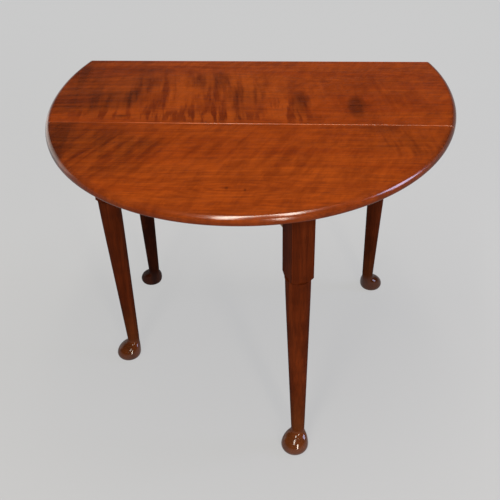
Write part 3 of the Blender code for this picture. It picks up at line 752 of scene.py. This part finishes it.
def iron_finish(name):
    """Forged iron, dented and pitted, with rust in patches."""
    material, shader, place = new_finish(name)
    mottle = place.stretched((120.0, 120.0, 120.0)).noise(4.0, 0.65)
    pits = place.stretched((700.0, 700.0, 700.0)).noise(3.0, 0.6)
    dents = place.stretched((260.0, 260.0, 260.0)).noise(1.0)
    rusty = mottle.between(0.48, 0.62)
    colour = place.node("RGB", {}, {})
    colour.socket.default_value = (*IRON, 1.0)
    colour = colour.toward(RUST, rusty * 0.75)
    rough = 0.42 + rusty * 0.35 + pits * 0.10
    dress(shader, place, colour, rough, pits * 0.5 + dents, 0.00030)
    metal = 0.90 - rusty * 0.70
    place.tree.links.new(metal.socket, shader.inputs["Metallic"])
    return material


iron = iron_finish("old_iron")
for node, obj in frame["nodes"].items():
    if "hinge" in node or node.endswith("_pin") or node.endswith("_screw"):
        for slot in obj.material_slots:
            slot.material = iron


# ------------------------------------------------------------------ hinge screws
# Each flap is held by countersunk screws with hand-filed slots: two on the board's
# side, three on the longer flap under the leaf.

SCREW_HEAD = 0.0033
SCREW_PROUD = 0.0002
SLOT_WIDE = 0.0008
SLOT_DEEP = 0.0007
SLOT_PAST = 0.001            # how far the file runs past the head's face
HEAD_POINTS = 28
BOARD_SCREWS = ((-0.011, 0.021), (0.011, 0.021))
LEAF_SCREWS = ((-0.011, -0.024), (0.011, -0.024), (0.0, -0.035))


def screw_head(name, slot_turn):
    """A head with a filed slot, facing down, its face at the origin."""
    rows = ((0.0, 0.92), (0.00012, 0.98), (0.0004, 1.0), (0.0021, 0.42))
    turns = [2 * math.pi * i / HEAD_POINTS for i in range(HEAD_POINTS)]
    rings = [[(SCREW_HEAD * size * math.cos(turn), SCREW_HEAD * size * math.sin(turn), rise)
              for turn in turns] for rise, size in rows]
    head = loft(name, rings)
    slot = block("slot", (-SCREW_HEAD * 2, -SLOT_WIDE / 2, -SLOT_PAST),
                 (SCREW_HEAD * 2, SLOT_WIDE / 2, SLOT_DEEP))
    slot.rotation_euler.z = slot_turn
    carve(head, slot, "DIFFERENCE")
    smooth(head)
    return head


hinge_lines = {
    "front": Matrix.Translation((0.0, MIDDLE_Y - JOINT, UNDERSIDE)),
    "rear": Matrix.Translation((0.0, MIDDLE_Y + JOINT, UNDERSIDE)) @ Matrix.Rotation(math.pi, 4, "Z"),
}
for side, line in hinge_lines.items():
    for number, x in enumerate(HINGE_X, start=1):
        for flap, spots in (("board", BOARD_SCREWS), ("leaf", LEAF_SCREWS)):
            stand = line if flap == "board" else leaves[side][0]
            for count, (aside, out) in enumerate(spots, start=1):
                name = "%s_hinge_%d_%s_screw_%d" % (side, number, flap, count)
                head = screw_head(name, 0.9 * number + 1.7 * count)
                spot = Matrix.Translation((x + aside, out, -SCREW_PROUD))
                head.matrix_world = stand @ spot
                head.data.materials.clear()
                head.data.materials.append(iron)
                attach(head, "frame" if flap == "board" else side + "_leaf")


# ------------------------------------------------------------------ floor, light, camera
# A plain pale floor that runs past the view and glows a little, an even ceiling, two
# strip lights over the table, a cool window right, a warm wall left, and a narrow window
# and a soft fill in front. The camera is at a standing person's shoulder.

FLOOR_HALF = 80.0
FLOOR_CELLS = 40
FLOOR_GREY = (0.060, 0.060, 0.060)
FLOOR_CLOUD = (0.056, 0.056, 0.056)
FLOOR_DROP = 0.0004          # just clear of the soles
FLOOR_GLOW = 0.512           # a lit floor, so that shadows on it stay faint

sheet = bmesh.new()
bmesh.ops.create_grid(sheet, x_segments=FLOOR_CELLS, y_segments=FLOOR_CELLS, size=FLOOR_HALF)
floor_mesh = bpy.data.meshes.new("floor")
sheet.to_mesh(floor_mesh)
sheet.free()
floor = bpy.data.objects.new("floor", floor_mesh)
floor.location.z = -FLOOR_DROP
bpy.context.scene.collection.objects.link(floor)
floor_finish, floor_shader, floor_place = new_finish("pale_floor")
clouds = floor_place.stretched((1.2, 1.2, 1.2)).noise(3.0)
speck = floor_place.stretched((90.0, 90.0, 90.0)).noise(2.0)
floor_colour = floor_place.node("RGB", {}, {})
floor_colour.socket.default_value = (*FLOOR_GREY, 1.0)
floor_colour = floor_colour.toward(FLOOR_CLOUD, clouds * 0.4)
dress(floor_shader, floor_place, floor_colour, 0.85 + speck * 0.05, speck, 0.0001, level=0.1)
glow = floor_place.split()[1].between(-1.0, 3.8, 0.92, 1.09)
floor_place.tree.links.new(floor_place.join(glow * 0.997, glow, glow).socket,
                           floor_shader.inputs["Emission Color"])
floor_shader.inputs["Emission Strength"].default_value = FLOOR_GLOW
floor_mesh.materials.append(floor_finish)


def soft_light(name, place, aim, width, height, power, colour, turn=0.0):
    """A glowing panel that faces aim, turned about its own middle."""
    lamp = bpy.data.lights.new(name, "AREA")
    lamp.shape = "RECTANGLE"
    lamp.size, lamp.size_y = width, height
    lamp.energy = power
    lamp.color = colour
    obj = bpy.data.objects.new(name, lamp)
    obj.location = place
    obj.rotation_euler = (Vector(aim) - Vector(place)).to_track_quat("-Z", "Y").to_euler()
    obj.rotation_euler.rotate_axis("Z", turn)
    bpy.context.scene.collection.objects.link(obj)
    return obj


def soft_sun(name, aim, strength, spread):
    """Even light from a wide patch of ceiling, which no polish mirrors."""
    lamp = bpy.data.lights.new(name, "SUN")
    lamp.energy = strength
    lamp.angle = math.radians(spread)
    obj = bpy.data.objects.new(name, lamp)
    obj.rotation_euler = Vector(aim).to_track_quat("-Z", "Y").to_euler()
    obj.visible_glossy = False
    bpy.context.scene.collection.objects.link(obj)


soft_sun("ceiling", (0.05, 0.30, -1.0), 0.75, 56.0)
soft_light("overhead_left", (-0.24, -0.73, 2.7), (-0.24, -0.73, 0.0), 0.28, 2.85, 60.0,
           (1.0, 0.93, 0.81), -0.108)
soft_light("overhead_right", (0.39, 0.28, 2.7), (0.39, 0.28, 0.0), 0.22, 2.0, 36.0,
           (1.0, 0.93, 0.81), 0.27)
soft_light("right_window", (3.0, 0.25, 2.1), (0.0, 0.0, 0.6), 1.1, 1.4, 72.0, (0.62, 0.66, 1.0))
left_wall = soft_light("left_wall", (-3.1, 1.9, 1.25), (-0.4, -0.2, 0.7), 2.4, 1.9, 13.0,
                       (1.0, 0.90, 0.80))
left_wall.visible_diffuse = False
soft_light("front_window", (1.15, -2.9, 1.7), (0.1, -0.2, 0.3), 0.26, 2.4, 84.0, (1.0, 0.90, 0.76))
fill = soft_light("fill", (-0.79, -2.9, 2.2), (-0.03, -0.41, 0.7), 0.6, 1.2, 70.0,
                  (1.0, 0.93, 0.84))
fill.visible_glossy = False

ROOM_DARK = (0.018, 0.018, 0.018)
WALL_GREY = (0.40, 0.403, 0.405)
world = bpy.data.worlds.new("room")
world.use_nodes = True
bpy.context.scene.world = world
room = Wire(world.node_tree)
height = room.node("TexCoord", {}, {}, output="Generated").split()[2]
near_horizon = 1.0 - height.size().between(0.18, 0.32)
shade = world.node_tree.nodes["Background"]
tint = room.node("RGB", {}, {})
tint.socket.default_value = (*ROOM_DARK, 1.0)
tint = tint.toward(WALL_GREY, near_horizon)
world.node_tree.links.new(tint.socket, shade.inputs["Color"])
shade.inputs["Strength"].default_value = 1.0

CAMERA_PLACE = (0.129, -1.5433, 1.3964)
CAMERA_HEADING = 0.0827      # turned left of the table's own axis
CAMERA_DOWN = 0.5855
CAMERA_ROLL = -0.0246
SENSOR_MM = 36.0
LENS_MM = 54.18
lens = bpy.data.cameras.new("camera")
lens.sensor_width = SENSOR_MM
lens.lens = LENS_MM
camera = bpy.data.objects.new("camera", lens)
camera.matrix_world = (Matrix.Translation(CAMERA_PLACE) @ Matrix.Rotation(CAMERA_HEADING, 4, "Z")
                       @ Matrix.Rotation(math.pi / 2 - CAMERA_DOWN, 4, "X")
                       @ Matrix.Rotation(CAMERA_ROLL, 4, "Z"))
bpy.context.scene.collection.objects.link(camera)
bpy.context.scene.camera = camera
bpy.context.scene.view_settings.view_transform = "Standard"
